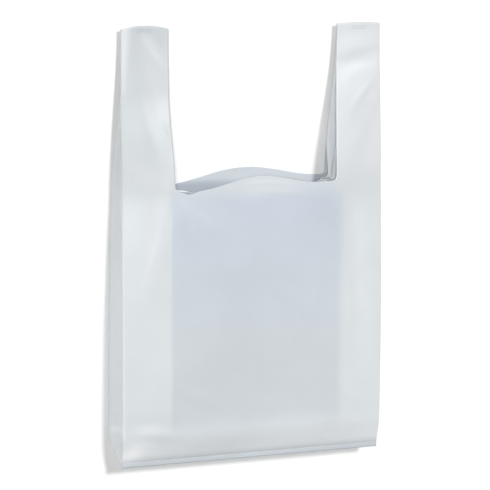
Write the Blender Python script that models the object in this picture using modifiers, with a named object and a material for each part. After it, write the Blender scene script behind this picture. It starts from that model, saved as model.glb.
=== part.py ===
"""A thin plastic carrier bag of the vest kind, lying on its back with its mouth part open.

The bag is one blown tube of film. Its two sides are tucked in as gussets, its bottom is sealed
straight across, and a die cuts the mouth out between two handles, whose tops are welded shut.
X runs across the bag, Y from the bottom seal to the handle tops, and Z up from the surface it lies on.
"""

import math

import bmesh
import bpy
import numpy as np

# Film, and the gap left between two plies that lie together
FILM = 0.0004
PLY_GAP = 0.0003

# The flat bag
BAG_WIDTH = 0.300
BAG_LENGTH = 0.480
GUSSET_PAST_CORNER = 0.017

# The die cut
HANDLE_LENGTH = 0.175
HANDLE_ROOT_WIDTH = 0.055
LEFT_HANDLE_TOP_WIDTH = 0.053
RIGHT_HANDLE_TOP_WIDTH = 0.047
CORNER_RADIUS = 0.008
TONGUE_RISE = 0.010
TONGUE_WIDTH = 0.120
TONGUE_BLEND = 0.060

# The seal across the bottom and the welds across the handle tops
SEAL_SKIRT = 0.003
SEAL_BAND = 0.003
WELD_SKIRT = 0.003
WELD_BAND = 0.004
BAND_PROUD = 0.00012

# How far the bag stands open, from its back to its front
BODY_DEPTH = 0.043
MOUTH_SIDE_DEPTH = 0.025
BOTTOM_SLOPE = 0.036
BODY_CROWN = 0.007
MOUTH_CROWN = 0.030
SEAL_HEIGHT = 0.032
HANDLE_TOP_HEIGHT = 0.009
LEFT_HANDLE_FALL = 0.105
RIGHT_HANDLE_FALL = 0.160

# How the gussets lie where the mouth cuts them
GUSSET_CLOSE = 0.065
GUSSET_RISE_LENGTH = 0.120
LEFT_GUSSET_RISE = 0.020
RIGHT_GUSSET_RISE = 0.012
GUSSET_BOW = 0.005

# How the thin ends lie to one side of the full middle
SIDE_DRIFT = 0.013
HANDLE_TOP_INSET = 0.0015

# Soft folds in the front film: start and end as shares of the width and the length, height, half width
SOFT_FOLDS = (
    ((-0.44, 0.96), (-0.36, 0.66), 0.0012, 0.012),
    ((-0.30, 0.60), (-0.41, 0.40), 0.0014, 0.014),
    ((0.30, 0.90), (0.50, 0.92), -0.0011, 0.011),
    ((0.33, 0.62), (0.37, 0.22), 0.0012, 0.014),
    ((-0.43, 0.09), (-0.30, 0.06), 0.0014, 0.012),
)
SOFT_FOLD_END_SHARE = 0.35
SOFT_FOLD_FADE_POWER = 8

# How finely the film is divided
STRAP_COLUMNS = 5
GUSSET_TAIL_COLUMNS = 2
PANEL_COLUMNS = 9
CORNER_STEPS = 3
SLOPE_ROWS = 6
BODY_ROWS = 10
STRAP_ROWS = 12
SLOPE_ROW_SPREAD = 1.4

# What follows from the sizes above
HALF_WIDTH = BAG_WIDTH / 2
PLY_PITCH = FILM + PLY_GAP
ROOT_REACH = HANDLE_ROOT_WIDTH + CORNER_RADIUS
GUSSET_DEPTH = ROOT_REACH + GUSSET_PAST_CORNER
MOUTH_Y = BAG_LENGTH - HANDLE_LENGTH
SEAL_END = SEAL_SKIRT + SEAL_BAND
WELD_START = BAG_LENGTH - WELD_SKIRT - WELD_BAND
CLOSED_DEPTH = 3 * PLY_PITCH
FOLD_RADIUS = PLY_PITCH / 2
FILM_COLOUR = (0.80, 0.83, 0.85, 1.0)
FILM_ROUGHNESS = 0.38


def ease(share):
    """Zero to one with level ends."""
    held = min(max(share, 0.0), 1.0)
    return held * held * (3 - 2 * held)


def mix(first, second, share):
    return first + (second - first) * share


def slope_share(y):
    """How far the plies have parted between the seal and the full body."""
    share = min(max((y - SEAL_END) / BOTTOM_SLOPE, 0.0), 1.0)
    return math.sin(share * math.pi / 2)


def mouth_share(y):
    """Zero at the end of the bottom slope and one at the mouth."""
    full = SEAL_END + BOTTOM_SLOPE
    return min(max((y - full) / (MOUTH_Y - full), 0.0), 1.0) ** 2


def handle_share(side, y):
    """Zero at the mouth and one where the two straps of a handle lie together."""
    return ease((y - MOUTH_Y) / (LEFT_HANDLE_FALL if side < 0 else RIGHT_HANDLE_FALL))


def side_depth(side, y):
    """The distance between the back and front side folds."""
    body = mix(CLOSED_DEPTH, BODY_DEPTH, slope_share(y))
    opened = mix(body, MOUTH_SIDE_DEPTH, mouth_share(y))
    return mix(opened, CLOSED_DEPTH, handle_share(side, y))


def side_height(y):
    """The height of the front side folds: low at the handle tops, and just under the front at the seal."""
    resting = FILM / 2 + mix(BODY_DEPTH, MOUTH_SIDE_DEPTH, mouth_share(y))
    body = mix(SEAL_HEIGHT + CLOSED_DEPTH / 2, resting, slope_share(y))
    return mix(body, HANDLE_TOP_HEIGHT, ease((y - MOUTH_Y) / HANDLE_LENGTH))


def back_height(side, y):
    """The height of the back panel, which lies flat between the bottom slope and the mouth."""
    return side_height(y) - side_depth(side, y)


def crown(side, y):
    """How far the middle of the front panel stands above its side folds."""
    body = mix(BODY_CROWN * slope_share(y), MOUTH_CROWN, mouth_share(y))
    return body * (1 - handle_share(side, y))


def side_line(y):
    """(shift, half width) of the bag's outline."""
    shift = SIDE_DRIFT * (1 - side_height(y) / BODY_DEPTH)
    inset = HANDLE_TOP_INSET * ease((y - MOUTH_Y) / HANDLE_LENGTH)
    return shift, HALF_WIDTH - inset


def strap_reach(side, y):
    """How far a handle reaches in from its side fold, with the die's round corner at its root."""
    top = LEFT_HANDLE_TOP_WIDTH if side < 0 else RIGHT_HANDLE_TOP_WIDTH
    straight = mix(HANDLE_ROOT_WIDTH, top, ease((y - MOUTH_Y) / HANDLE_LENGTH))
    above = y - MOUTH_Y
    if above >= CORNER_RADIUS:
        return straight
    rest = CORNER_RADIUS - above
    return straight + CORNER_RADIUS - math.sqrt(max(CORNER_RADIUS**2 - rest**2, 0.0))


def near_line(point, start, end):
    """The distance from a point to a stretch of line, and how far along that stretch it lies."""
    point, start, end = (np.array(each, float) for each in (point, start, end))
    along = end - start
    share = float(np.clip((point - start) @ along / (along @ along), 0.0, 1.0))
    return float(np.linalg.norm(point - start - share * along)), share


def soft_fold_height(x, y):
    """The height that the soft folds add to the front film."""
    total = 0.0
    for start, end, height, half in SOFT_FOLDS:
        first = (start[0] * BAG_WIDTH, start[1] * BAG_LENGTH)
        last = (end[0] * BAG_WIDTH, end[1] * BAG_LENGTH)
        gap, share = near_line((x, y), first, last)
        along = mix(SOFT_FOLD_END_SHARE, 1.0, math.sin(math.pi * share))
        total += height * (1 - ease(gap / half)) * along
    return total * ease((y - SEAL_END) / BOTTOM_SLOPE) * ease((WELD_START - y) / BOTTOM_SLOPE)


def front_height(side, x, y):
    """The front panel's height at a place across the bag, measured from its own middle line."""
    share = min(abs(x) / HALF_WIDTH, 1.0)
    raised = crown(side, y) * (1 - share**2)
    return side_height(y) + raised + soft_fold_height(x, y) * (1 - share**SOFT_FOLD_FADE_POWER)


def tongue(x):
    """The low tongue that the die leaves in the middle of the mouth."""
    share = min(abs(x) / (TONGUE_WIDTH / 2), 1.0)
    return TONGUE_RISE * (1 + math.cos(math.pi * share)) / 2


def panel_point(side, reach, y, front):
    """A point of the front or back panel, at its reach in from the side fold."""
    shift, half = side_line(y)
    x = side * (half - reach)
    height = front_height(side, x, y) if front else back_height(side, y)
    lift = tongue(x) * ease((y - MOUTH_Y) / TONGUE_BLEND + 1) if y <= MOUTH_Y else 0.0
    return (x + shift, y + lift, height)


def gusset_fold_height(side, y):
    """The height of a gusset's inner fold: halfway up the body, and nearer the front at the mouth."""
    rise = LEFT_GUSSET_RISE if side < 0 else RIGHT_GUSSET_RISE
    opened = ease((y - MOUTH_Y) / GUSSET_RISE_LENGTH + 1)
    depth = side_depth(side, y)
    return back_height(side, y) + depth / 2 + rise * opened * depth / MOUTH_SIDE_DEPTH


def gusset_point(side, reach, y, front):
    """A point of a gusset half: tucked in below the mouth, and lying along its panel up the handle."""
    shift, half = side_line(y)
    fold = gusset_fold_height(side, y)
    run = math.sqrt(GUSSET_DEPTH**2 - (side_depth(side, y) / 2) ** 2) / GUSSET_DEPTH
    share = reach / GUSSET_DEPTH
    x = side * (half - mix(FOLD_RADIUS, reach, run))
    bow = GUSSET_BOW * math.sin(math.pi * share) * ease((y - MOUTH_Y) / GUSSET_RISE_LENGTH + 1)
    if front:
        tucked = mix(side_height(y) - PLY_PITCH, fold + FOLD_RADIUS, share) + bow
        against = front_height(side, x, y) - PLY_PITCH
    else:
        tucked = mix(back_height(side, y) + PLY_PITCH, fold - FOLD_RADIUS, share) - bow
        against = back_height(side, y) + PLY_PITCH
    return (x + shift, y, mix(tucked, against, ease((y - MOUTH_Y) / GUSSET_CLOSE)))


def side_tip(side, y, front):
    """The outermost point of a side fold."""
    shift, half = side_line(y)
    height = side_height(y) - FOLD_RADIUS if front else back_height(side, y) + FOLD_RADIUS
    return (side * half + shift, y, height)


def gusset_tip(side, y):
    """The innermost point of a gusset's fold."""
    x, _, height = gusset_point(side, GUSSET_DEPTH, y, True)
    return (x - side * FOLD_RADIUS, y, height - FOLD_RADIUS)


def strap_reaches(side, y):
    """The places of a strap's columns, from the side fold inwards, which run on down the body."""
    wide = strap_reach(side, max(y, MOUTH_Y))
    return [mix(FOLD_RADIUS, wide, step / STRAP_COLUMNS) for step in range(STRAP_COLUMNS + 1)]


def strap_row(side, y, front):
    """One row of a strap, from the panel's cut edge round the side fold to the gusset's cut edge."""
    reaches = strap_reaches(side, y)
    row = [panel_point(side, reach, y, front) for reach in reversed(reaches)]
    row.append(side_tip(side, y, front))
    row.extend(gusset_point(side, reach, y, front) for reach in reaches)
    return row


def half_row(side, y):
    """Half of a body row, from the middle of the front round the gusset to the middle of the back."""
    half = side_line(y)[1]
    inner = [mix(ROOT_REACH, half, step / PANEL_COLUMNS) for step in range(1, PANEL_COLUMNS + 1)]
    tail = [
        mix(ROOT_REACH, GUSSET_DEPTH, step / GUSSET_TAIL_COLUMNS)
        for step in range(1, GUSSET_TAIL_COLUMNS + 1)
    ]
    row = [panel_point(side, reach, y, True) for reach in reversed(inner)]
    row.extend(strap_row(side, y, True))
    row.extend(gusset_point(side, reach, y, True) for reach in tail)
    row.append(gusset_tip(side, y))
    row.extend(gusset_point(side, reach, y, False) for reach in reversed(tail))
    row.extend(reversed(strap_row(side, y, False)))
    row.extend(panel_point(side, reach, y, False) for reach in inner)
    return row


def body_row(y):
    """A closed row round the bag: the left half, then the right half back to the front's middle."""
    left = half_row(-1, y)
    right = half_row(1, y)
    return left + list(reversed(right))[1:-1]


def body_stations():
    """The rows' places along the bag, from the skirt of the seal to the mouth."""
    full = SEAL_END + BOTTOM_SLOPE
    slope = [
        SEAL_END + BOTTOM_SLOPE * (step / SLOPE_ROWS) ** SLOPE_ROW_SPREAD
        for step in range(1, SLOPE_ROWS + 1)
    ]
    body = [mix(full, MOUTH_Y, step / BODY_ROWS) for step in range(1, BODY_ROWS + 1)]
    return [0.0, SEAL_SKIRT, SEAL_END] + slope + body


def strap_stations():
    """The rows' places up a handle, past the die's corner, with rows at both edges of the weld."""
    corner = [
        MOUTH_Y + CORNER_RADIUS * (1 - math.cos(math.pi / 2 * step / CORNER_STEPS))
        for step in range(1, CORNER_STEPS + 1)
    ]
    last = corner[-1]
    strap = [mix(last, WELD_START, step / STRAP_ROWS) for step in range(1, STRAP_ROWS + 1)]
    return corner + strap + [WELD_START + WELD_BAND, BAG_LENGTH]


def add_row(mesh, points):
    return [mesh.verts.new(point) for point in points]


def skin(mesh, first, second, closed):
    """Joins two rows of equal length with quads."""
    count = len(first)
    for i in range(count if closed else count - 1):
        after = (i + 1) % count
        mesh.faces.new((first[i], second[i], second[after], first[after]))


def film_surface():
    """The middle surface of the film: a closed tube up to the mouth, and four straps above it."""
    mesh = bmesh.new()
    rows = [add_row(mesh, body_row(y)) for y in body_stations()]
    for below, above in zip(rows, rows[1:]):
        skin(mesh, below, above, True)
    mouth = rows[-1]
    strap_length = 2 * STRAP_COLUMNS + 3
    left_front = PANEL_COLUMNS
    left_back = left_front + strap_length + 2 * GUSSET_TAIL_COLUMNS + 1
    for side in (-1, 1):
        for front in (True, False):
            start = left_front if front else left_back
            picked = [(start + i) if side < 0 else -(start + i) for i in range(strap_length)]
            below = [mouth[i % len(mouth)] for i in picked]
            for y in strap_stations():
                points = strap_row(side, y, front)
                above = add_row(mesh, points if front else reversed(points))
                skin(mesh, below, above, False)
                below = above
    bmesh.ops.recalc_face_normals(mesh, faces=mesh.faces)
    return mesh


def film_material():
    material = bpy.data.materials.new("white_film")
    material.use_nodes = True
    shader = material.node_tree.nodes["Principled BSDF"]
    shader.inputs["Base Color"].default_value = FILM_COLOUR
    shader.inputs["Roughness"].default_value = FILM_ROUGHNESS
    shader.inputs["Metallic"].default_value = 0.0
    return material


def band(name, centre, size, home):
    """A closed bar that stands for film melted together."""
    bpy.ops.mesh.primitive_cube_add(size=1.0)
    bar = bpy.context.active_object
    bar.name = name
    bar.data.transform(bar.matrix_world)
    for vertex in bar.data.vertices:
        vertex.co = [c + s * v for c, s, v in zip(centre, size, vertex.co)]
    for holder in list(bar.users_collection):
        holder.objects.unlink(bar)
    home.objects.link(bar)
    bar.display_type = "WIRE"
    bar.hide_render = True
    return bar


def bands(home):
    """The bottom seal and the two handle welds, each a little wider and thicker than its four plies."""
    thick = CLOSED_DEPTH + FILM + 2 * BAND_PROUD
    shift, half = side_line(SEAL_SKIRT)
    height = side_height(SEAL_SKIRT) - CLOSED_DEPTH / 2
    place = (shift, SEAL_SKIRT + SEAL_BAND / 2, height)
    size = (2 * half + FILM + 2 * BAND_PROUD, SEAL_BAND, thick)
    made = [band("bottom_seal", place, size, home)]
    middle = WELD_START + WELD_BAND / 2
    shift, half = side_line(middle)
    for side, name in ((-1, "left_weld"), (1, "right_weld")):
        wide = strap_reach(side, WELD_START) + FILM + BAND_PROUD
        x = shift + side * (half + FILM / 2 + BAND_PROUD - wide / 2)
        height = side_height(middle) - CLOSED_DEPTH / 2
        made.append(band(name, (x, middle, height), (wide, WELD_BAND, thick), home))
    return made


def centre_on_box(objects, film):
    """Moves everything so that the bag's box stands over the origin."""
    points = np.array([vertex.co for vertex in film.data.vertices])
    middle = (points.min(axis=0) + points.max(axis=0)) / 2
    for obj in objects:
        for vertex in obj.data.vertices:
            vertex.co.x -= middle[0]
            vertex.co.y -= middle[1]


def main():
    for old in list(bpy.data.objects):
        bpy.data.objects.remove(old, do_unlink=True)
    parts = bpy.data.collections.new("carrier_bag")
    helpers = bpy.data.collections.new("weld_bands")
    bpy.context.scene.collection.children.link(parts)
    bpy.context.scene.collection.children.link(helpers)

    surface = film_surface()
    data = bpy.data.meshes.new("bag_film")
    surface.to_mesh(data)
    surface.free()
    film = bpy.data.objects.new("bag_film", data)
    parts.objects.link(film)
    data.materials.append(film_material())
    data.shade_smooth()

    melted = bands(helpers)
    centre_on_box([film] + melted, film)

    wall = film.modifiers.new("film_wall", "SOLIDIFY")
    wall.thickness = FILM
    wall.offset = 0.0
    wall.use_even_offset = True
    for bar in melted:
        join = film.modifiers.new(bar.name, "BOOLEAN")
        join.operation = "UNION"
        join.solver = "EXACT"
        join.object = bar


main()
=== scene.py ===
"""A thin white plastic carrier bag of the vest kind, lying on its back with its mouth part open.

X runs across the bag, Y from the bottom seal to the handle tops, and Z up from the floor it lies on.
"""

import logging
import math
from dataclasses import dataclass, field
from enum import Enum

import bpy
import numpy as np
from mathutils import Matrix, Vector

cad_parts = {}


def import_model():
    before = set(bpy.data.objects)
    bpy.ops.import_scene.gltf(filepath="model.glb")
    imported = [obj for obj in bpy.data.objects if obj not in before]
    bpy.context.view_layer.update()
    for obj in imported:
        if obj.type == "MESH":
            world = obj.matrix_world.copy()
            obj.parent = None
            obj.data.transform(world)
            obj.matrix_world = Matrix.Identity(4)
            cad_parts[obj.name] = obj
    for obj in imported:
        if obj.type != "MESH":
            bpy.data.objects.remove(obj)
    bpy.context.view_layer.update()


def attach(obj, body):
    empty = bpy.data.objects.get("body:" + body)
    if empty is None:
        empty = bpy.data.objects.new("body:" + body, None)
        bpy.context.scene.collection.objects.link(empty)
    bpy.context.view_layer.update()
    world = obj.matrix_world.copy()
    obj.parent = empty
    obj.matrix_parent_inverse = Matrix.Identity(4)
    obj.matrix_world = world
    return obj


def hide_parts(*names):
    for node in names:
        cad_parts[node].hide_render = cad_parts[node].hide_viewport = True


LOG = logging.getLogger("carrier_bag")
Colour = tuple[float, float, float, float]
PHOTO_PIXELS = 490
SENSOR_MM = 36.0


class Ply(Enum):
    """The walls that a column of the film belongs to, in order from the mouth's edge round a side."""

    FRONT = "front panel"
    FRONT_FOLD = "front side fold"
    GUSSET_FRONT = "gusset half under the front"
    GUSSET_FOLD = "gusset fold"
    GUSSET_BACK = "gusset half over the back"
    BACK_FOLD = "back side fold"
    BACK = "back panel"


def ease(share: np.ndarray) -> np.ndarray:
    """Zero to one with level ends."""
    held = np.clip(share, 0.0, 1.0)
    return held * held * (3 - 2 * held)


def mix(first: np.ndarray, second: np.ndarray, share: np.ndarray) -> np.ndarray:
    """The value a share of the way from first to second."""
    return first + (second - first) * share


@dataclass(frozen=True)
class BagSizes:
    """The bag's real sizes in metres, as its solid in the frame has them."""

    ply_pitch: float = 0.0007
    wall: float = 0.0002
    width: float = 0.3024
    length: float = 0.480
    gusset_depth: float = 0.080
    handle_length: float = 0.175
    handle_root_widths: tuple[float, float] = (0.0555, 0.0615)
    handle_top_widths: tuple[float, float] = (0.053, 0.0515)
    corner_radius: float = 0.005
    front_tongue: tuple[float, float, float] = (-0.008, 0.074, 0.0135)
    tongue_blend: float = 0.060
    seal_skirt: float = 0.003
    seal_band: float = 0.003
    weld_skirt: float = 0.003
    weld_band: float = 0.004
    body_depth: float = 0.043
    mouth_side_depth: float = 0.025
    bottom_slope: float = 0.036
    body_crown: float = 0.007
    mouth_crown: float = 0.030
    mouth_rounding: tuple[float, ...] = (-0.016, -0.012, -0.008, -0.004, 0.0, 0.004, 0.008, 0.012, 0.016)
    seal_height: float = 0.032
    handle_top_height: float = 0.009
    handle_falls: tuple[float, float] = (0.105, 0.160)
    gusset_close: float = 0.065
    gusset_rise_length: float = 0.120
    gusset_rises: tuple[float, float] = (0.020, 0.012)
    gusset_bow: float = 0.005
    side_drift: float = 0.0065
    handle_top_inset: float = 0.0015
    handle_lean: float = -0.0007
    back_splay: float = 0.0040
    back_tongue: tuple[float, float, float] = (-0.010, 0.095, 0.0148)
    back_tilt: float = 0.0062
    front_tilt: float = 0.0055
    cut_reach: float = 0.050
    front_dip: tuple[float, float, float] = (-0.0811, 0.0125, 0.0028)
    gusset_edges: tuple[float, float] = (-0.0016, -0.0010)
    gusset_taper: float = 0.005
    top_arch: tuple[float, float] = (0.0036, 0.0014)
    top_drop: tuple[float, float] = (0.0030, 0.0008)
    top_arch_length: float = 0.030
    frame_film: float = 0.0004

    @property
    def half_width(self) -> float:
        """Half of the flat width."""
        return self.width / 2

    def root_reach(self, side: int) -> float:
        """How far the die's round corner reaches in from the side fold."""
        return self.handle_root_widths[side > 0] + self.corner_radius

    @property
    def mouth_y(self) -> float:
        """Where the die's cut crosses the bag."""
        return self.length - self.handle_length

    @property
    def seal_end(self) -> float:
        """Where the plies part above the bottom seal."""
        return self.seal_skirt + self.seal_band

    @property
    def weld_start(self) -> float:
        """Where the plies meet under the handle welds."""
        return self.length - self.weld_skirt - self.weld_band

    @property
    def closed_depth(self) -> float:
        """From the lowest ply to the highest where all four lie together."""
        return 3 * self.ply_pitch

    @property
    def fold_radius(self) -> float:
        """Half of the gap between two plies that lie together."""
        return self.ply_pitch / 2


@dataclass(frozen=True)
class Crease:
    """A soft line in the front film, from start to end in metres from the seal's middle.

    height is how far it stands up, and less than zero is a trough. half is its half width, and crisp
    is 1 for a rounded line and more for a pinched one.
    """

    start: tuple[float, float]
    end: tuple[float, float]
    height: float
    half: float
    crisp: float = 1.0

    def lift(self, x: np.ndarray, y: np.ndarray) -> np.ndarray:
        """The height that the line adds at each place.

        Args:
            x: places across the bag.
            y: places along the bag.

        Returns:
            The heights, in metres.
        """
        along = np.array(self.end) - np.array(self.start)
        dx, dy = x - self.start[0], y - self.start[1]
        share = np.clip((dx * along[0] + dy * along[1]) / (along @ along), 0.0, 1.0)
        gap = np.hypot(dx - share * along[0], dy - share * along[1])
        body = (1 - ease(gap / self.half)) ** self.crisp
        return self.height * body * mix(0.25, 1.0, np.sin(np.pi * share))


@dataclass(frozen=True)
class PaintedShadingPatch:
    """A soft patch of painted light, or of painted shade where strength is below zero, from start to end on the
    flat bag.

    strength is how much lighter, and less than zero is darker. halves are its half widths at the two
    ends.
    """

    start: tuple[float, float]
    end: tuple[float, float]
    halves: tuple[float, float]
    strength: float

    def share(self, x: np.ndarray, y: np.ndarray) -> np.ndarray:
        """How strong the patch is at each place.

        Args:
            x: places across the bag.
            y: places along the bag.

        Returns:
            The strengths, of the sign of the patch's own.
        """
        along = np.array(self.end) - np.array(self.start)
        dx, dy = x - self.start[0], y - self.start[1]
        share = np.clip((dx * along[0] + dy * along[1]) / (along @ along), 0.0, 1.0)
        gap = np.hypot(dx - share * along[0], dy - share * along[1])
        body = 1 - ease(gap / mix(self.halves[0], self.halves[1], share))
        return self.strength * body * mix(0.35, 1.0, np.sin(np.pi * share))


@dataclass
class FilmForm:
    """Where each point of the film's middle surface lies."""

    sizes: BagSizes = field(default_factory=BagSizes)
    creases: tuple[Crease, ...] = ()

    def slope_share(self, y: np.ndarray) -> np.ndarray:
        """How far the plies have parted between the seal and the full body."""
        s = self.sizes
        return np.sin(np.clip((y - s.seal_end) / s.bottom_slope, 0.0, 1.0) * np.pi / 2)

    def mouth_share(self, y: np.ndarray) -> np.ndarray:
        """Zero at the end of the bottom slope and one at the mouth."""
        s = self.sizes
        full = s.seal_end + s.bottom_slope
        shares = [np.clip((y + gap - full) / (s.mouth_y - full), 0.0, 1.0) ** 2 for gap in s.mouth_rounding]
        return sum(shares) / len(shares)

    def past_mouth(self, y: np.ndarray, length: float) -> np.ndarray:
        """Eases from zero at the mouth to one at a length above it."""
        return ease((y - self.sizes.mouth_y) / length)

    def handle_share(self, side: int, y: np.ndarray) -> np.ndarray:
        """Zero at the mouth and one where the two straps of a handle lie together."""
        return self.past_mouth(y, self.sizes.handle_falls[side > 0])

    def side_depth(self, side: int, y: np.ndarray) -> np.ndarray:
        """The distance between the back and front side folds."""
        s = self.sizes
        body = mix(s.closed_depth, s.body_depth, self.slope_share(y))
        opened = mix(body, s.mouth_side_depth, self.mouth_share(y))
        return mix(opened, s.closed_depth, self.handle_share(side, y))

    def side_height(self, y: np.ndarray) -> np.ndarray:
        """The height of the front side folds."""
        s = self.sizes
        resting = s.frame_film / 2 + mix(s.body_depth, s.mouth_side_depth, self.mouth_share(y))
        body = mix(s.seal_height + s.closed_depth / 2, resting, self.slope_share(y))
        return mix(body, s.handle_top_height, self.past_mouth(y, s.handle_length))

    def back_height(self, side: int, y: np.ndarray) -> np.ndarray:
        """The height of the back panel."""
        return self.side_height(y) - self.side_depth(side, y)

    def side_line(self, y: np.ndarray) -> tuple[np.ndarray, np.ndarray]:
        """The sideways shift and the half width of the bag's outline."""
        s = self.sizes
        shift = s.side_drift * (1 - self.side_height(y) / s.body_depth)
        shift = shift - s.handle_lean * self.past_mouth(y, s.handle_length)
        return shift, s.half_width - s.handle_top_inset * self.past_mouth(y, s.handle_length)

    def strap_reach(self, side: int, y: np.ndarray) -> np.ndarray:
        """How far a handle reaches in from its side fold, with the round corner at its root."""
        s = self.sizes
        top = s.handle_top_widths[side > 0]
        straight = mix(s.handle_root_widths[side > 0], top, self.past_mouth(y, s.handle_length))
        rest = np.clip(s.corner_radius - (y - s.mouth_y), 0.0, s.corner_radius)
        return straight + s.corner_radius - np.sqrt(s.corner_radius**2 - rest**2)

    def crown(self, side: int, y: np.ndarray) -> np.ndarray:
        """How far the middle of the front panel stands above its side folds."""
        s = self.sizes
        body = mix(s.body_crown * self.slope_share(y), s.mouth_crown, self.mouth_share(y))
        return body * (1 - self.handle_share(side, y))

    def crease_lift(self, x: np.ndarray, y: np.ndarray) -> np.ndarray:
        """The height that all the soft lines add to the front film."""
        s = self.sizes
        total = sum((crease.lift(x, y) for crease in self.creases), np.zeros_like(x))
        fade = ease((y - s.seal_end) / 0.012) * ease((s.weld_start - y) / 0.008)
        return total * fade

    def front_height(self, side: int, x: np.ndarray, y: np.ndarray) -> np.ndarray:
        """The front panel's height at places across the bag."""
        share = np.minimum(np.abs(x) / self.sizes.half_width, 1.0)
        raised = self.crown(side, y) * (1 - share**2)
        return self.side_height(y) + raised + self.crease_lift(x, y) * (1 - share**16)

    def cut_line(self, x: np.ndarray, y: np.ndarray, front: bool) -> np.ndarray:
        """How far the mouth's cut edge stands beyond a straight cut, fading into the film beside it.

        Args:
            x: places across the bag.
            y: places along the bag.
            front: the front panel's cut, and otherwise the back's.

        Returns:
            The shifts along the bag, in metres.
        """
        s = self.sizes
        middle, half, rise = s.front_tongue if front else s.back_tongue
        share = np.minimum(np.abs(x - middle) / half, 1.0)
        tongue = rise * (1 + np.cos(np.pi * share)) / 2 * (y <= s.mouth_y)
        tilt = s.front_tilt * ease((x + 0.045) / 0.100) if front else s.back_tilt * ease((x + 0.060) / 0.120)
        below = ease((y - s.mouth_y) / s.tongue_blend + 1)
        above = ease(1 - (y - s.mouth_y) / s.cut_reach)
        return (tongue + tilt) * below * above

    def dip(self, x: np.ndarray, y: np.ndarray) -> np.ndarray:
        """How far the front's cut edge dips at the mouth's left end, where the gusset's edge shows."""
        s = self.sizes
        middle, half, drop = s.front_dip
        near = ease((y - s.mouth_y) / 0.020 + 1) * ease(1 - (y - s.mouth_y) / 0.008)
        return drop * near * ease(1 - np.abs(x - middle) / half)

    def top_line(self, side: int, reach: np.ndarray, y: np.ndarray) -> np.ndarray:
        """How far the welded end of a handle is drawn in, less in its middle than at its edges."""
        s = self.sizes
        share = 2 * reach / s.handle_top_widths[side > 0] - 1
        near = ease((y - s.length) / s.top_arch_length + 1)
        return near * (s.top_arch[side > 0] * (1 - share**2) - s.top_drop[side > 0])

    def splay(self, side: int, y: np.ndarray) -> np.ndarray:
        """How far the back side folds lie outward of the front ones."""
        s = self.sizes
        return s.back_splay * np.minimum(self.side_depth(side, y) / s.mouth_side_depth, 1.0)

    def panel(self, side: int, reach: np.ndarray, y: np.ndarray, front: bool) -> np.ndarray:
        """Points of the front or back panel, at their reach in from the side fold."""
        shift, half = self.side_line(y)
        splay = 0.0 if front else self.splay(side, y) * (1 - (reach / half) ** 2)
        x = side * (half - reach + splay)
        height = self.front_height(side, x, y) if front else self.back_height(side, y)
        lift = self.cut_line(x, y, front) + self.top_line(side, reach, y)
        if front:
            lift = lift - self.dip(x, y)
        return np.stack([x + shift, y + lift, height + 0 * x], axis=-1)

    def gusset(self, side: int, reach: np.ndarray, y: np.ndarray, front: bool) -> np.ndarray:
        """Points of a gusset half: tucked in below the mouth, and along its panel up the handle."""
        s = self.sizes
        shift, half = self.side_line(y)
        depth, back, top = self.side_depth(side, y), self.back_height(side, y), self.side_height(y)
        opened = ease((y - s.mouth_y) / s.gusset_rise_length + 1)
        rise = s.gusset_rises[side > 0] * opened * depth / s.mouth_side_depth
        fold = back + depth / 2 + rise
        run = np.sqrt(s.gusset_depth**2 - (depth / 2) ** 2) / s.gusset_depth
        share = reach / s.gusset_depth
        splay = 0.0 if front else self.splay(side, y) * (1 - share)
        x = side * (half - mix(s.fold_radius, reach, run) + splay)
        bow = s.gusset_bow * np.sin(np.pi * share) * opened
        if front:
            tucked = mix(top - s.ply_pitch, fold + s.fold_radius, share) + bow
            against = self.front_height(side, x, y) - s.ply_pitch
        else:
            tucked = mix(back + s.ply_pitch, fold - s.fold_radius, share) - bow
            against = back + s.ply_pitch
        height = mix(tucked, against, self.past_mouth(y, s.gusset_close))
        root = s.root_reach(side) / s.gusset_depth
        taper = s.gusset_taper * np.clip((share - root) / (1 - root), 0.0, 1.0) ** 1.5
        edge = (s.gusset_edges[side > 0] * ease(share / 0.6) - taper) * ease((y - s.mouth_y) / 0.020 + 1)
        lift = self.cut_line(x, y, front) * ease(share / 0.9) + edge * ease(1 - (y - s.mouth_y) / 0.010)
        return np.stack([x + shift, y + lift + self.top_line(side, reach, y), height], axis=-1)

    def side_tip(self, side: int, y: np.ndarray, front: bool) -> np.ndarray:
        """The outermost points of a side fold."""
        s = self.sizes
        shift, half = self.side_line(y)
        height = self.side_height(y) - s.fold_radius if front else self.back_height(side, y) + s.fold_radius
        drop = self.top_line(side, np.zeros_like(y), y)
        splay = 0.0 if front else self.splay(side, y)
        return np.stack([side * (half + splay) + shift, y + drop, height], axis=-1)

    def gusset_tip(self, side: int, y: np.ndarray) -> np.ndarray:
        """The innermost points of a gusset's fold."""
        s = self.sizes
        points = self.gusset(side, np.full_like(y, s.gusset_depth), y, True)
        return points - np.array([side * s.fold_radius, 0.0, s.fold_radius])


@dataclass(frozen=True)
class Fineness:
    """How many columns and rows divide the film."""

    front_columns: int = 38
    strap_columns: int = 27
    gusset_columns: int = 14
    tail_columns: int = 4
    back_strap_columns: int = 12
    back_columns: int = 16
    corner_steps: int = 5
    slope_rows: int = 22
    body_rows: int = 104
    strap_rows: int = 84


Column = tuple[int, Ply, float, bool]


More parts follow.
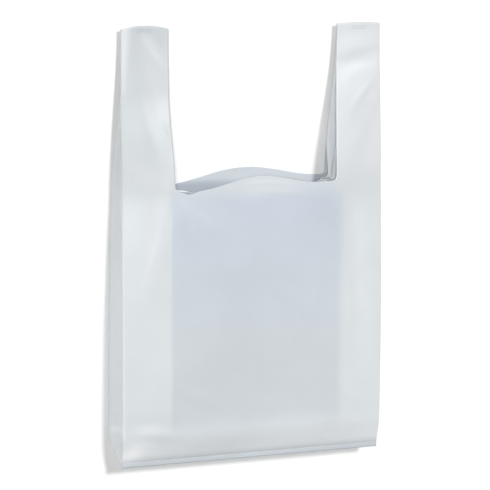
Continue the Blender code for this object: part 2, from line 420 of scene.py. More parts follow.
@dataclass
class FilmMesh:
    """The film as a lofted surface: a closed tube up to the mouth, and four straps above it.

    A column is (side, ply, share of its stretch, part of a strap).
    """

    form: FilmForm
    fineness: Fineness = field(default_factory=Fineness)
    points: list[np.ndarray] = field(default_factory=list)
    faces: list[tuple[int, ...]] = field(default_factory=list)
    tucked: list[np.ndarray] = field(default_factory=list)
    behind: list[np.ndarray] = field(default_factory=list)
    count: int = 0

    def strap_columns(self, side: int, front: bool) -> list[Column]:
        """The columns of a strap, from the panel's cut edge round the side fold to the gusset's."""
        n = self.fineness.strap_columns if front else self.fineness.back_strap_columns
        g = self.fineness.gusset_columns
        panel, fold, gusset = (
            (Ply.FRONT, Ply.FRONT_FOLD, Ply.GUSSET_FRONT)
            if front
            else (Ply.BACK, Ply.BACK_FOLD, Ply.GUSSET_BACK)
        )
        columns = [(side, panel, step / n, True) for step in range(n, -1, -1)]
        columns.append((side, fold, 0.0, True))
        columns.extend((side, gusset, step / g, True) for step in range(g + 1))
        return columns

    def half_columns(self, side: int) -> list[Column]:
        """Half of the tube's columns, from the middle of the front round to the middle of the back."""
        f = self.fineness
        columns = [(side, Ply.FRONT, k / f.front_columns, False) for k in range(f.front_columns, 0, -1)]
        columns.extend(self.strap_columns(side, True))
        tail = [k / f.tail_columns for k in range(1, f.tail_columns + 1)]
        columns.extend((side, Ply.GUSSET_FRONT, share, False) for share in tail)
        columns.append((side, Ply.GUSSET_FOLD, 0.0, False))
        columns.extend((side, Ply.GUSSET_BACK, share, False) for share in reversed(tail))
        columns.extend(reversed(self.strap_columns(side, False)))
        columns.extend((side, Ply.BACK, k / f.back_columns, False) for k in range(1, f.back_columns + 1))
        return columns

    def place(self, column: Column, y: np.ndarray) -> np.ndarray:
        """The points of one column at all the places along the bag.

        Args:
            column: the column.
            y: places along the bag.

        Returns:
            An array of points, one row for each place.
        """
        side, ply, share, strap = column
        s = self.form.sizes
        wide = self.form.strap_reach(side, np.maximum(y, s.mouth_y))
        front = ply in (Ply.FRONT, Ply.FRONT_FOLD, Ply.GUSSET_FRONT)
        if ply in (Ply.FRONT_FOLD, Ply.BACK_FOLD):
            return self.form.side_tip(side, y, front)
        if ply is Ply.GUSSET_FOLD:
            return self.form.gusset_tip(side, y)
        if strap:
            reach = mix(s.fold_radius, wide, share)
        elif ply in (Ply.GUSSET_FRONT, Ply.GUSSET_BACK):
            reach = mix(s.root_reach(side), s.gusset_depth, share) + 0 * y
        else:
            reach = mix(s.root_reach(side), self.form.side_line(y)[1], share)
        if ply in (Ply.FRONT, Ply.BACK):
            return self.form.panel(side, reach, y, front)
        return self.form.gusset(side, reach, y, front)

    def stations(self) -> tuple[np.ndarray, np.ndarray]:
        """The rows' places along the body, and above the mouth along the straps."""
        s, f = self.form.sizes, self.fineness
        full = s.seal_end + s.bottom_slope
        slope = s.seal_end + s.bottom_slope * (np.arange(1, f.slope_rows + 1) / f.slope_rows) ** 1.3
        left = (1 - np.arange(1, f.body_rows + 1) / f.body_rows) ** 1.4
        body = s.mouth_y - (s.mouth_y - full) * left
        start = [0.0, s.seal_skirt / 2, s.seal_skirt, s.seal_skirt + s.seal_band / 2, s.seal_end]
        turn = np.pi / 2 * np.arange(1, f.corner_steps + 1) / f.corner_steps
        corner = s.mouth_y + s.corner_radius * (1 - np.cos(turn))
        strap = np.linspace(corner[-1], s.weld_start, f.strap_rows + 1)[1:]
        end = [s.weld_start + s.weld_band / 2, s.weld_start + s.weld_band, s.length - 0.0015, s.length]
        return np.concatenate([start, slope, body]), np.concatenate([corner, strap, end])

    def add_grid(self, columns: list[Column], y: np.ndarray) -> np.ndarray:
        """Adds the points of some columns and returns their indices, one row for each place along."""
        grid = np.stack([self.place(column, y) for column in columns], axis=1)
        hidden = [self.tuck_value(column) for column in columns]
        self.tucked.append(np.tile(hidden, len(y)))
        self.behind.append(np.tile([float(column[1] is Ply.BACK) for column in columns], len(y)))
        index = self.count + np.arange(grid.shape[0] * grid.shape[1]).reshape(grid.shape[:2])
        self.points.append(grid.reshape(-1, 3))
        self.count += index.size
        return index

    @staticmethod
    def tuck_value(column: Column) -> float:
        """One on a gusset, a half on a side fold and zero on a panel."""
        if column[1] in (Ply.FRONT_FOLD, Ply.BACK_FOLD):
            return 0.5
        return 0.0 if column[1] in (Ply.FRONT, Ply.BACK) else 1.0

    def tucked_values(self) -> np.ndarray:
        """The gusset mask of every point."""
        return np.concatenate(self.tucked)

    def behind_values(self) -> np.ndarray:
        """The back panel mask of every point."""
        return np.concatenate(self.behind)

    def skin(self, index: np.ndarray, closed: bool, flip: bool) -> None:
        """Adds the quads between neighbouring rows and columns of a grid of indices."""
        after = np.roll(index, -1, axis=1) if closed else index[:, 1:]
        here = index if closed else index[:, :-1]
        quads = np.stack([here[:-1], after[:-1], after[1:], here[1:]], axis=-1).reshape(-1, 4)
        if flip:
            quads = quads[:, ::-1]
        self.faces.extend(map(tuple, quads.tolist()))

    def build(self) -> None:
        """Lofts the tube and then the four straps from its last row."""
        body_y, strap_y = self.stations()
        left, right = self.half_columns(-1), self.half_columns(1)
        tube = left + right[::-1][1:-1]
        index = self.add_grid(tube, body_y)
        self.skin(index, True, True)
        mouth = {column: index[-1, i] for i, column in enumerate(tube)}
        for side in (-1, 1):
            for front in (True, False):
                columns = self.strap_columns(side, front)
                above = self.add_grid(columns, strap_y)
                below = np.array([mouth[column] for column in columns])
                self.skin(np.vstack([below, above]), False, (side < 0) == front)


def add_mesh(name: str, points: np.ndarray, faces: list[tuple[int, ...]]) -> bpy.types.Object:
    """A new mesh object at the origin.

    Args:
        name: the piece's name.
        points: its vertices in metres.
        faces: its faces as indices.

    Returns:
        The object, linked to the scene.
    """
    data = bpy.data.meshes.new(name)
    data.from_pydata(points.tolist(), [], faces)
    data.update()
    piece = bpy.data.objects.new(name, data)
    bpy.context.scene.collection.objects.link(piece)
    return piece


def store(piece: bpy.types.Object, name: str, values: np.ndarray) -> None:
    """Keeps one value for each vertex under a name that the finish reads."""
    layer = piece.data.attributes.new(name, "FLOAT", "POINT")
    layer.data.foreach_set("value", np.asarray(values, np.float32))


def baked(piece: bpy.types.Object) -> bpy.types.Object:
    """Turns a piece's modifiers into plain mesh and removes them."""
    bpy.context.view_layer.update()
    graph = bpy.context.evaluated_depsgraph_get()
    data = bpy.data.meshes.new_from_object(piece.evaluated_get(graph), depsgraph=graph)
    piece.modifiers.clear()
    piece.data = data
    return piece


@dataclass(frozen=True)
class GrainGroup:
    """The film's own unevenness: faint clouds in its tone, streaks along its length, and fine dimples."""

    name: str = "film_grain"

    def tree(self) -> bpy.types.NodeTree:
        """The group, which is built the first time that it is asked for."""
        known = bpy.data.node_groups.get(self.name)
        if known:
            return known
        tree = bpy.data.node_groups.new(self.name, "ShaderNodeTree")
        sides = tree.interface
        sides.new_socket(name="Vector", in_out="INPUT", socket_type="NodeSocketVector")
        for name, start in (("Cloud Scale", 14.0), ("Streak Scale", 260.0), ("Dimple Scale", 420.0)):
            sides.new_socket(name=name, in_out="INPUT", socket_type="NodeSocketFloat").default_value = start
        sides.new_socket(name="Tone", in_out="OUTPUT", socket_type="NodeSocketFloat")
        sides.new_socket(name="Height", in_out="OUTPUT", socket_type="NodeSocketFloat")
        nodes, links = tree.nodes, tree.links
        given, out = nodes.new("NodeGroupInput"), nodes.new("NodeGroupOutput")
        cloud, streak, dimple = (nodes.new("ShaderNodeTexNoise") for _ in range(3))
        for noise, scale in ((cloud, "Cloud Scale"), (streak, "Streak Scale"), (dimple, "Dimple Scale")):
            noise.inputs["Detail"].default_value = 3.0
            links.new(given.outputs[scale], noise.inputs["Scale"])
        along = nodes.new("ShaderNodeMapping")
        along.inputs["Scale"].default_value = (1.0, 0.03, 1.0)
        links.new(given.outputs["Vector"], cloud.inputs["Vector"])
        links.new(given.outputs["Vector"], dimple.inputs["Vector"])
        links.new(given.outputs["Vector"], along.inputs["Vector"])
        links.new(along.outputs["Vector"], streak.inputs["Vector"])
        tone = nodes.new("ShaderNodeMath")
        tone.operation = "MULTIPLY_ADD"
        tone.inputs[1].default_value = 0.10
        links.new(streak.outputs["Fac"], tone.inputs[0])
        links.new(cloud.outputs["Fac"], tone.inputs[2])
        height = nodes.new("ShaderNodeMath")
        height.operation = "ADD"
        links.new(streak.outputs["Fac"], height.inputs[0])
        links.new(dimple.outputs["Fac"], height.inputs[1])
        links.new(tone.outputs[0], out.inputs["Tone"])
        links.new(height.outputs[0], out.inputs["Height"])
        return tree


@dataclass(frozen=True)
class FilmFinish:
    """Thin white film: satin, a little blue where two plies lie, and whiter where more lie together; the gussets'
    whiteness is partly painted light, and the masks also lay painted highlights and painted shade.
    """

    name: str = "white_film"
    open_colour: Colour = (0.562, 0.620, 0.690, 1.0)
    lower_colour: Colour = (0.570, 0.612, 0.642, 1.0)
    strip_colour: Colour = (0.655, 0.690, 0.708, 1.0)
    handle_colour: Colour = (0.572, 0.602, 0.622, 1.0)
    right_colour: Colour = (0.680, 0.705, 0.720, 1.0)
    # whiter gussets: more plies lie there, and the rest is painted light that offsets the shade in their folds
    tuck_painted_light_colour: Colour = (0.920, 0.945, 0.965, 1.0)
    painted_light_colour: Colour = (0.880, 0.895, 0.905, 1.0)
    painted_shade_colour: Colour = (0.400, 0.445, 0.490, 1.0)
    roughness: float = 0.42
    cloud_depth: float = 0.05
    dimple_height: float = 0.00004

    def material(self) -> bpy.types.Material:
        """The material, with its masks read from the piece's attributes."""
        material = bpy.data.materials.new(self.name)
        material.use_nodes = True
        nodes, links = material.node_tree.nodes, material.node_tree.links
        shader = nodes["Principled BSDF"]
        shader.inputs["Roughness"].default_value = self.roughness
        shader.inputs["Specular IOR Level"].default_value = 0.45
        place = nodes.new("ShaderNodeTexCoord")
        grain = nodes.new("ShaderNodeGroup")
        grain.node_tree = GrainGroup().tree()
        links.new(place.outputs["Object"], grain.inputs["Vector"])
        colour = nodes.new("ShaderNodeRGB")
        colour.outputs[0].default_value = self.open_colour
        last = colour.outputs[0]
        for mask, other in (
            ("lower", self.lower_colour),
            ("strip", self.strip_colour),
            ("handle", self.handle_colour),
            ("right_handle", self.right_colour),
            ("tucked", self.tuck_painted_light_colour),
            # painted light: highlights on folds and creases, and light on the bottom slope
            ("painted_light", self.painted_light_colour),
            # painted shade: darker creases, the band by the seal, the mouth's inside and the slits at its ends
            ("painted_shade", self.painted_shade_colour),
        ):
            last = self.blend(nodes, links, last, other, mask)
        shade = nodes.new("ShaderNodeMix")
        shade.data_type = "RGBA"
        shade.blend_type = "MULTIPLY"
        shade.inputs["Factor"].default_value = 1.0
        spread = nodes.new("ShaderNodeMapRange")
        spread.inputs["To Min"].default_value = 1.0 - self.cloud_depth
        spread.inputs["To Max"].default_value = 1.0 + self.cloud_depth
        links.new(grain.outputs["Tone"], spread.inputs["Value"])
        spread.inputs["From Min"].default_value = 0.35
        spread.inputs["From Max"].default_value = 1.0
        links.new(last, shade.inputs["A"])
        links.new(spread.outputs["Result"], shade.inputs["B"])
        links.new(shade.outputs["Result"], shader.inputs["Base Color"])
        bump = nodes.new("ShaderNodeBump")
        bump.inputs["Distance"].default_value = self.dimple_height
        links.new(grain.outputs["Height"], bump.inputs["Height"])
        links.new(bump.outputs["Normal"], shader.inputs["Normal"])
        return material

    @staticmethod
    def blend(
        nodes: bpy.types.Nodes,
        links: bpy.types.NodeLinks,
        under: bpy.types.NodeSocket,
        over: Colour,
        mask: str,
    ) -> bpy.types.NodeSocket:
        """Lays a colour over another where a mask is one.

        Args:
            nodes: the material's nodes.
            links: the material's links.
            under: the colour so far.
            over: the colour laid over it.
            mask: the name of the attribute that says where.

        Returns:
            The mixed colour's socket.
        """
        read = nodes.new("ShaderNodeAttribute")
        read.attribute_name = mask
        joined = nodes.new("ShaderNodeMix")
        joined.data_type = "RGBA"
        joined.inputs["B"].default_value = over
        links.new(read.outputs["Fac"], joined.inputs["Factor"])
        links.new(under, joined.inputs["A"])
        return joined.outputs["Result"]


@dataclass(frozen=True)
class WeldFinish:
    """Film melted together: a little clearer and glossier than the film around it."""

    name: str = "welded_film"
    colour: Colour = (0.500, 0.540, 0.590, 1.0)
    roughness: float = 0.30
    dimple_height: float = 0.00006

    def material(self) -> bpy.types.Material:
        """The material of the seal and the welds."""
        material = bpy.data.materials.new(self.name)
        material.use_nodes = True
        nodes, links = material.node_tree.nodes, material.node_tree.links
        shader = nodes["Principled BSDF"]
        shader.inputs["Base Color"].default_value = self.colour
        shader.inputs["Roughness"].default_value = self.roughness
        place = nodes.new("ShaderNodeTexCoord")
        grain = nodes.new("ShaderNodeGroup")
        grain.node_tree = GrainGroup().tree()
        grain.inputs["Dimple Scale"].default_value = 900.0
        bump = nodes.new("ShaderNodeBump")
        bump.inputs["Distance"].default_value = self.dimple_height
        links.new(place.outputs["Object"], grain.inputs["Vector"])
        links.new(grain.outputs["Height"], bump.inputs["Height"])
        links.new(bump.outputs["Normal"], shader.inputs["Normal"])
        return material


def seal_place(across: float, along: float) -> tuple[float, float]:
    """A place on the flat bag from shares of its width, from the middle, and of its length."""
    return across * BagSizes().width, along * BagSizes().length


@dataclass
class PressedRibs:
    """A row of fine ribs that a heated bar pressed into the welded plies.

    start is the first rib's middle, from the seal's middle, and pitch is the step to the next one.
    """

    name: str
    start: tuple[float, float, float]
    count: int
    pitch: tuple[float, float, float]
    size: tuple[float, float, float]

    @staticmethod
    def tree() -> bpy.types.NodeTree:
        """The rule that lays the ribs, which is built the first time that it is asked for."""
        known = bpy.data.node_groups.get("pressed_ribs")
        if known:
            return known
        tree = bpy.data.node_groups.new("pressed_ribs", "GeometryNodeTree")
        sides = tree.interface
        sides.new_socket(name="Count", in_out="INPUT", socket_type="NodeSocketInt")
        for name in ("Start", "Pitch", "Rib Size"):
            sides.new_socket(name=name, in_out="INPUT", socket_type="NodeSocketVector")
        sides.new_socket(name="Finish", in_out="INPUT", socket_type="NodeSocketMaterial")
        sides.new_socket(name="Geometry", in_out="OUTPUT", socket_type="NodeSocketGeometry")
        nodes, links = tree.nodes, tree.links
        given, out = nodes.new("NodeGroupInput"), nodes.new("NodeGroupOutput")
        row, rib = nodes.new("GeometryNodeMeshLine"), nodes.new("GeometryNodeMeshCube")
        spread, real, coat = (
            nodes.new("GeometryNodeInstanceOnPoints"),
            nodes.new("GeometryNodeRealizeInstances"),
            nodes.new("GeometryNodeSetMaterial"),
        )
        links.new(given.outputs["Count"], row.inputs["Count"])
        links.new(given.outputs["Start"], row.inputs["Start Location"])
        links.new(given.outputs["Pitch"], row.inputs["Offset"])
        links.new(given.outputs["Rib Size"], rib.inputs["Size"])
        links.new(row.outputs["Mesh"], spread.inputs["Points"])
        links.new(rib.outputs["Mesh"], spread.inputs["Instance"])
        links.new(spread.outputs["Instances"], real.inputs["Geometry"])
        links.new(real.outputs["Geometry"], coat.inputs["Geometry"])
        links.new(given.outputs["Finish"], coat.inputs["Material"])
        links.new(coat.outputs["Geometry"], out.inputs["Geometry"])
        return tree

    def build(self, middle: np.ndarray, finish: bpy.types.Material) -> bpy.types.Object:
        """Lays the ribs as plain mesh.

        Args:
            middle: the bag's middle, which lies over the frame's origin.
            finish: the ribs' material.

        Returns:
            The ribs as one piece.
        """
        piece = add_mesh(self.name, np.zeros((0, 3)), [])
        rule = piece.modifiers.new("ribs", "NODES")
        rule.node_group = self.tree()
        values = {
            "Count": self.count,
            "Start": [float(v) for v in np.array(self.start) - middle],
            "Pitch": list(self.pitch),
            "Rib Size": list(self.size),
            "Finish": finish,
        }
        for socket in rule.node_group.interface.items_tree:
            if socket.in_out == "INPUT":
                rule[socket.identifier] = values[socket.name]
        return baked(piece)


@dataclass
class CarrierBag:
    """The whole bag: its film, its bottom seal and its handle welds."""

    sizes: BagSizes = field(default_factory=BagSizes)
    finish: FilmFinish = field(default_factory=FilmFinish)
    seal_finish: WeldFinish = field(default_factory=lambda: WeldFinish("sealed_film", (0.560, 0.580, 0.592, 1.0)))
    weld_finish: WeldFinish = field(default_factory=WeldFinish)
    strip_left: float = -0.0970
    strip_left_blend: float = 0.0025
    strip_right: float = 0.0935
    strip_right_blend: float = 0.014
    middle: np.ndarray = field(default_factory=lambda: np.zeros(3))

    def creases(self) -> tuple[Crease, ...]:
        """The soft lines in the front film and the handles, as the photographed bag has them."""
        at = seal_place
        return (
            Crease(at(-0.44, 0.96), at(-0.36, 0.66), 0.0005, 0.013),
            Crease(at(-0.30, 0.60), at(-0.41, 0.40), 0.0008, 0.014),
            Crease(at(0.30, 0.90), at(0.50, 0.92), -0.0008, 0.011),
            Crease(at(0.33, 0.62), at(0.37, 0.22), 0.0012, 0.014),
            Crease(at(-0.46, 0.088), at(-0.28, 0.070), 0.0009, 0.010),
            Crease(at(-0.398, 0.975), at(-0.335, 0.925), 0.0005, 0.004),
            Crease(at(-0.327, 0.640), at(-0.417, 0.420), 0.0004, 0.006),
            Crease(at(-0.345, 0.785), at(-0.315, 0.760), 0.0005, 0.004),
            Crease(at(-0.350, 0.770), at(-0.318, 0.742), -0.0004, 0.004),
            Crease(at(-0.292, 0.624), at(-0.149, 0.554), -0.0003, 0.009),
            Crease(at(-0.297, 0.615), at(-0.250, 0.520), 0.0006, 0.008),
            Crease(at(-0.060, 0.620), at(0.100, 0.622), 0.0004, 0.004),
            Crease(at(-0.020, 0.603), at(0.160, 0.606), 0.0003, 0.005),
            Crease(at(0.490, 0.886), at(0.357, 0.792), 0.0005, 0.007),
            Crease(at(0.270, 0.036), at(0.300, 0.042), 0.0006, 0.005),
            Crease(at(0.395, 0.062), at(0.420, 0.076), 0.0006, 0.005),
            Crease(at(0.440, 0.030), at(0.465, 0.024), 0.0005, 0.005),
            Crease(at(-0.320, 0.190), at(-0.120, 0.130), 0.0006, 0.012),
            Crease(at(0.050, 0.420), at(0.240, 0.330), 0.0005, 0.014),
            Crease(at(0.300, 0.180), at(0.420, 0.110), 0.0006, 0.010),
        )

    def painted_shading_patches(self) -> tuple[PaintedShadingPatch, ...]:
        """Painted light and painted shade along the creases and folds of the front film and the handles."""
        at = seal_place
        return (
            PaintedShadingPatch(at(-0.456, 1.100), at(-0.472, 0.855), (0.0145, 0.0045), 0.50),
            PaintedShadingPatch(at(-0.425, 1.000), at(-0.400, 0.740), (0.006, 0.026), -0.13),
            PaintedShadingPatch(at(-0.392, 0.975), at(-0.322, 0.915), (0.006, 0.008), 0.30),
            PaintedShadingPatch(at(-0.345, 0.990), at(-0.325, 0.950), (0.014, 0.008), -0.12),
            PaintedShadingPatch(at(-0.380, 0.920), at(-0.345, 0.760), (0.018, 0.022), 0.12),
            PaintedShadingPatch(at(-0.380, 0.880), at(-0.400, 0.640), (0.034, 0.040), -0.17),
            PaintedShadingPatch(at(-0.500, 0.010), at(-0.420, 0.055), (0.013, 0.018), 0.42),
            PaintedShadingPatch(at(-0.322, 0.720), at(-0.420, 0.400), (0.010, 0.014), 0.13),
            PaintedShadingPatch(at(-0.330, 0.860), at(-0.315, 0.660), (0.007, 0.007), 0.04),
            PaintedShadingPatch(at(0.300, 0.918), at(0.515, 0.945), (0.011, 0.007), -0.26),
            PaintedShadingPatch(at(0.315, 0.955), at(0.500, 0.975), (0.010, 0.010), 0.14),
            PaintedShadingPatch(at(0.520, 0.895), at(0.370, 0.770), (0.009, 0.018), -0.13),
            PaintedShadingPatch(at(0.500, 0.830), at(0.380, 0.670), (0.010, 0.020), -0.13),
            PaintedShadingPatch(at(0.340, 0.865), at(0.430, 0.905), (0.012, 0.009), 0.22),
            PaintedShadingPatch(at(-0.460, 0.092), at(-0.350, 0.096), (0.012, 0.010), 0.24),
            PaintedShadingPatch(at(-0.300, 0.034), at(0.060, 0.048), (0.022, 0.018), -0.14),
            PaintedShadingPatch(at(0.230, 0.640), at(0.320, 0.520), (0.020, 0.040), -0.10),
            PaintedShadingPatch(at(-0.100, 0.640), at(0.150, 0.645), (0.016, 0.016), 0.12),
            PaintedShadingPatch(at(-0.290, 0.625), at(-0.120, 0.560), (0.012, 0.024), 0.10),
            PaintedShadingPatch(at(0.400, 0.600), at(0.440, 0.200), (0.016, 0.020), 0.12),
        )

    def base_form(self) -> FilmForm:
        """The film's form with its soft lines."""
        return FilmForm(self.sizes, self.creases())

    def masks(self, points: np.ndarray, tucked: np.ndarray, behind: np.ndarray) -> dict[str, np.ndarray]:
        """Where the finish changes its tone, much of it by painted light and painted shade.

        Args:
            points: the film's points, from the seal's middle.
            tucked: one on the gussets and zero on the panels.
            behind: one on the back panel and zero elsewhere.

        Returns:
            A value from zero to one for each point, for each of the finish's masks.
        """
        s = self.sizes
        x, y = points[:, 0], points[:, 1]
        panel = 1 - tucked
        # painted shade in the slit and the pocket at the mouth's ends
        gap = self.gap(x, y) * (tucked == 1.0)
        above = ease((y - s.mouth_y + 0.030) / 0.060) * ease((np.abs(x) - 0.085) / 0.012)
        left = ease((self.strip_left - x) / self.strip_left_blend + 0.5) * ease((y - 0.026) / 0.045)
        right = ease((x - self.strip_right) / self.strip_right_blend) * ease((y - 0.006) / 0.060)
        edge = 0.7 * ease((y - s.mouth_y + 0.014) / 0.020)
        # painted light and shade from the patches, with the painted fold highlight, slope light, seal shade and
        # mouth shade added below
        painted_shading = sum((patch.share(x, y) for patch in self.painted_shading_patches()), np.zeros_like(x))
        # painted highlight along the left front side fold
        painted_fold_highlight = 0.55 * ease(1 - (x + s.half_width) / 0.0035) * ease((y - 0.02) / 0.02)
        # painted light that brightens the bottom slope, which faces away from the lamps
        slope = 0.72 * ease(1 - y / 0.060) * ease((y - 0.002) / 0.014)
        # painted shade on the flat band just above the bottom seal
        seal = -0.38 * ease((0.0090 - y) / 0.0045)
        # painted shade on the back panel's inner side, seen in the mouth
        painted_mouth_shade = behind * self.painted_mouth_shade(x, y)
        painted_shading = painted_shading + np.where(x < 0, painted_fold_highlight, 0.0) + slope + seal + painted_mouth_shade
        return {
            "lower": ease((0.300 - y) / 0.190),
            "strip": np.maximum(np.maximum(left, right), edge) * panel,
            "handle": above * panel,
            "right_handle": above * panel * (x > 0),
            "tucked": tucked,
            # painted highlights: the lighter patches, and a painted highlight along every side fold
            "painted_light": np.maximum(np.clip(painted_shading, 0.0, 1.0) * panel, 0.8 * (tucked == 0.5)),
            # painted shade: the darker patches, and the shade in the slits at the mouth's ends
            "painted_shade": np.maximum(np.clip(-painted_shading, 0.0, 1.0) * panel, gap),
        }

    def gap(self, x: np.ndarray, y: np.ndarray) -> np.ndarray:
        """Painted shade in the slit and the pocket between the plies at the mouth's two ends, where the gussets'
        cut edges lie.
        """
        s = self.sizes
        cut = s.mouth_y + mix(s.gusset_edges[0], s.gusset_edges[1], x > 0)
        left = ease((cut - 0.0008 - y) / 0.0006) * (x < 0)
        right = ease((y - cut + 0.020) / 0.008) * (x > 0)
        reach = mix(0.0905, 0.1000, (x > 0) * 1.0)
        low = np.where(x > 0, ease((cut + 0.0070 - y) / 0.004), 1.0)
        return (left + right) * ease((y - cut + 0.020) / 0.010) * ease((reach - np.abs(x)) / 0.004) * low

    def painted_mouth_shade(self, x: np.ndarray, y: np.ndarray) -> np.ndarray:
        """How far painted shade darkens the back panel's inner side in the mouth, most low down at the left."""
        s = self.sizes
        near = ease((y - s.mouth_y + 0.030) / 0.020) * ease((0.096 - np.abs(x)) / 0.008)
        low = ease((s.mouth_y + 0.0085 - y) / 0.010) * ease(0.35 - x / 0.070)
        return near * (-0.12 - 0.85 * low)

    def film(self) -> bpy.types.Object:
        """The film as one closed shell of its wall's thickness."""
        loft = FilmMesh(self.base_form())
        loft.build()
        points = np.concatenate(loft.points)
        tucked = loft.tucked_values()
        piece = add_mesh("bag_film_sheet", points, loft.faces)
        for name, values in self.masks(points, tucked, loft.behind_values()).items():
            store(piece, name, values)
        wall = piece.modifiers.new("wall", "SOLIDIFY")
        wall.thickness = self.sizes.wall
        wall.offset = 0.0
        wall.use_even_offset = True
        baked(piece)
        low, high = points.min(axis=0), points.max(axis=0)
        self.middle = np.array([(low[0] + high[0]) / 2, (low[1] + high[1]) / 2, 0.0])
        piece.data.transform(Matrix.Translation(Vector(-self.middle)))
        piece.data.materials.append(self.finish.material())
        piece.data.shade_smooth()
        return piece

    def pressed(self) -> tuple[PressedRibs, ...]:
        """The two lines along the bottom seal and the crimps across each handle's weld."""
        s = self.sizes
        form = FilmForm(s)
        seal_y, weld_y = s.seal_skirt + s.seal_band / 2, s.weld_start + s.weld_band / 2
        seal_z = float(form.side_height(np.array(seal_y))) + s.wall / 2
        weld_z = float(form.side_height(np.array(weld_y))) + s.wall / 2
        shift = float(form.side_line(np.array(seal_y))[0])
        top, half = (float(v) for v in form.side_line(np.array(weld_y)))
        left = top - half + s.handle_top_widths[0] / 2
        right = top + half - s.handle_top_widths[1] / 2
        return (
            PressedRibs("bottom_seal_lines", (shift, seal_y - 0.0006, seal_z), 2, (0.0, 0.0012, 0.0), (0.296, 0.0005, 0.0003)),
            PressedRibs("left_weld_ribs", (left - 0.0084, weld_y, weld_z), 8, (0.0023, 0.0, 0.0), (0.0011, 0.0048, 0.0004)),
            PressedRibs("right_weld_ribs", (right - 0.0066, weld_y - 0.0012, weld_z), 4, (0.0044, 0.0, 0.0), (0.0036, 0.0006, 0.0004)),
            PressedRibs("right_weld_ribs_upper", (right - 0.0050, weld_y + 0.0010, weld_z), 4, (0.0040, 0.0, 0.0), (0.0030, 0.0006, 0.0004)),
        )

    def dress(self, piece: bpy.types.Object, stands_for: str | None) -> None:
        """Rides a piece on the bag, hides the part that it stands for, and logs its faces."""
        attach(piece, "root")
        if stands_for:
            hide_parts(stands_for)
        LOG.info("%s: %d faces", piece.name, len(piece.data.polygons))

    def build(self) -> None:
        """Builds every piece and rides it on the bag."""
        film = self.film()
        self.dress(film, "bag_film")
        seal, weld = self.seal_finish.material(), self.weld_finish.material()
        lines, *crimps = self.pressed()
        self.dress(lines.build(self.middle, seal), None)
        for ribs in crimps:
            self.dress(ribs.build(self.middle, weld), None)


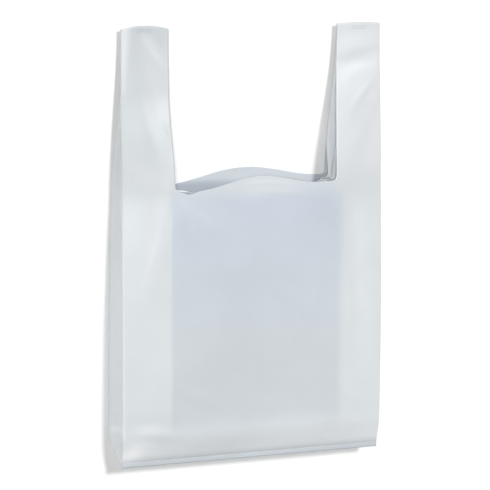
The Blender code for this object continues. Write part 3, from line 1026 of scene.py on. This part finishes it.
@dataclass
class Studio:
    """A plain pale floor, soft light from above, and the camera."""

    theta: float = math.radians(20.0)
    phi: float = math.radians(10.5)
    roll: float = math.radians(0.7)
    distance: float = 2.40
    focal_pixels: float = 2178.0
    target: tuple[float, float, float] = (-0.0047, 0.010, 0.015)
    target_pixel: tuple[float, float] = (244.6, 233.8)
    key_strength: float = 1.83
    fill_strength: float = 1.10
    sky_strength: float = 0.23

    @staticmethod
    def seen(nodes: bpy.types.Nodes, links: bpy.types.NodeLinks) -> bpy.types.NodeSocket:
        """One for a ray from the camera, from a glossy surface or through a clear one.

        Args:
            nodes: the material's or the world's nodes.
            links: their links.

        Returns:
            The socket with the value.
        """
        path = nodes.new("ShaderNodeLightPath")
        last = path.outputs["Is Camera Ray"]
        for ray in ("Is Glossy Ray", "Is Transmission Ray"):
            either = nodes.new("ShaderNodeMath")
            either.operation = "MAXIMUM"
            links.new(last, either.inputs[0])
            links.new(path.outputs[ray], either.inputs[1])
            last = either.outputs[0]
        return last

    def floor(self) -> bpy.types.Object:
        """A wide floor that shows white to the camera and still takes the bag's shadow."""
        reach = 6.0
        corners = np.array([(-reach, -reach, 0), (reach, -reach, 0), (reach, reach, 0), (-reach, reach, 0)])
        floor = add_mesh("floor", corners, [(0, 1, 2, 3)])
        material = bpy.data.materials.new("pale_floor")
        material.use_nodes = True
        nodes, links = material.node_tree.nodes, material.node_tree.links
        nodes.clear()
        out = nodes.new("ShaderNodeOutputMaterial")
        matt = nodes.new("ShaderNodeBsdfDiffuse")
        matt.inputs["Color"].default_value = (0.90, 0.90, 0.90, 1.0)
        glow, both = nodes.new("ShaderNodeEmission"), nodes.new("ShaderNodeAddShader")
        lift = nodes.new("ShaderNodeMath")
        lift.operation = "MULTIPLY"
        lift.inputs[1].default_value = 0.07
        links.new(self.seen(nodes, links), lift.inputs[0])
        links.new(lift.outputs[0], glow.inputs["Strength"])
        links.new(matt.outputs[0], both.inputs[0])
        links.new(glow.outputs[0], both.inputs[1])
        links.new(both.outputs[0], out.inputs["Surface"])
        floor.data.materials.append(material)
        return floor

    def sun(self, name: str, way: tuple[float, float, float], strength: float, spread: float) -> None:
        """A distant lamp.

        Args:
            name: the lamp's name.
            way: the direction from the bag to the lamp.
            strength: its strength.
            spread: how wide it looks, in degrees.
        """
        data = bpy.data.lights.new(name, "SUN")
        data.energy = strength
        data.angle = math.radians(spread)
        lamp = bpy.data.objects.new(name, data)
        lamp.rotation_euler = Vector(way).to_track_quat("Z", "Y").to_euler()
        bpy.context.scene.collection.objects.link(lamp)

    def camera(self) -> None:
        """A long lens that looks down on the bag, from the side of its left handle."""
        back = Vector(
            (
                -math.sin(self.theta) * math.cos(self.phi),
                math.sin(self.phi),
                math.cos(self.theta) * math.cos(self.phi),
            )
        )
        level = Vector((0.0, 1.0, 0.0)).cross(back).normalized()
        rise = back.cross(level)
        right = math.cos(self.roll) * level + math.sin(self.roll) * rise
        up = back.cross(right)
        scale = self.distance / self.focal_pixels
        off = Vector(self.target)
        off -= right * (self.target_pixel[0] - PHOTO_PIXELS / 2) * scale
        off -= up * (PHOTO_PIXELS / 2 - self.target_pixel[1]) * scale
        data = bpy.data.cameras.new("camera")
        data.sensor_width = SENSOR_MM
        data.lens = self.focal_pixels * SENSOR_MM / PHOTO_PIXELS
        data.clip_end = 50.0
        camera = bpy.data.objects.new("camera", data)
        turn = Matrix((right, up, back)).transposed().to_4x4()
        camera.matrix_world = Matrix.Translation(off + back * self.distance) @ turn
        bpy.context.scene.collection.objects.link(camera)
        bpy.context.scene.camera = camera

    def world(self) -> None:
        """An even sky, which the camera sees as white."""
        world = bpy.data.worlds.new("sky")
        bpy.context.scene.world = world
        world.use_nodes = True
        nodes, links = world.node_tree.nodes, world.node_tree.links
        nodes.clear()
        out = nodes.new("ShaderNodeOutputWorld")
        sky, white = nodes.new("ShaderNodeBackground"), nodes.new("ShaderNodeBackground")
        sky.inputs["Strength"].default_value = self.sky_strength
        sky.inputs["Color"].default_value = (1.0, 1.0, 1.0, 1.0)
        white.inputs["Color"].default_value = (1.0, 1.0, 1.0, 1.0)
        choose = nodes.new("ShaderNodeMixShader")
        links.new(self.seen(nodes, links), choose.inputs["Fac"])
        links.new(sky.outputs[0], choose.inputs[1])
        links.new(white.outputs[0], choose.inputs[2])
        links.new(choose.outputs[0], out.inputs["Surface"])

    def build(self) -> None:
        """Sets up the floor, the lamps, the sky and the camera."""
        self.floor()
        self.sun("key", (0.25, 0.46, 1.0), self.key_strength, 9.0)
        self.sun("fill", (-0.34, 0.16, 0.92), self.fill_strength, 8.0)
        self.world()
        self.camera()
        bpy.context.scene.view_settings.view_transform = "Standard"


def main() -> None:
    """Builds the studio and the bag, and reports each piece."""
    logging.basicConfig(level=logging.INFO, format="%(message)s")
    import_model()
    Studio().build()
    CarrierBag().build()


if __name__ == "__main__":
    main()
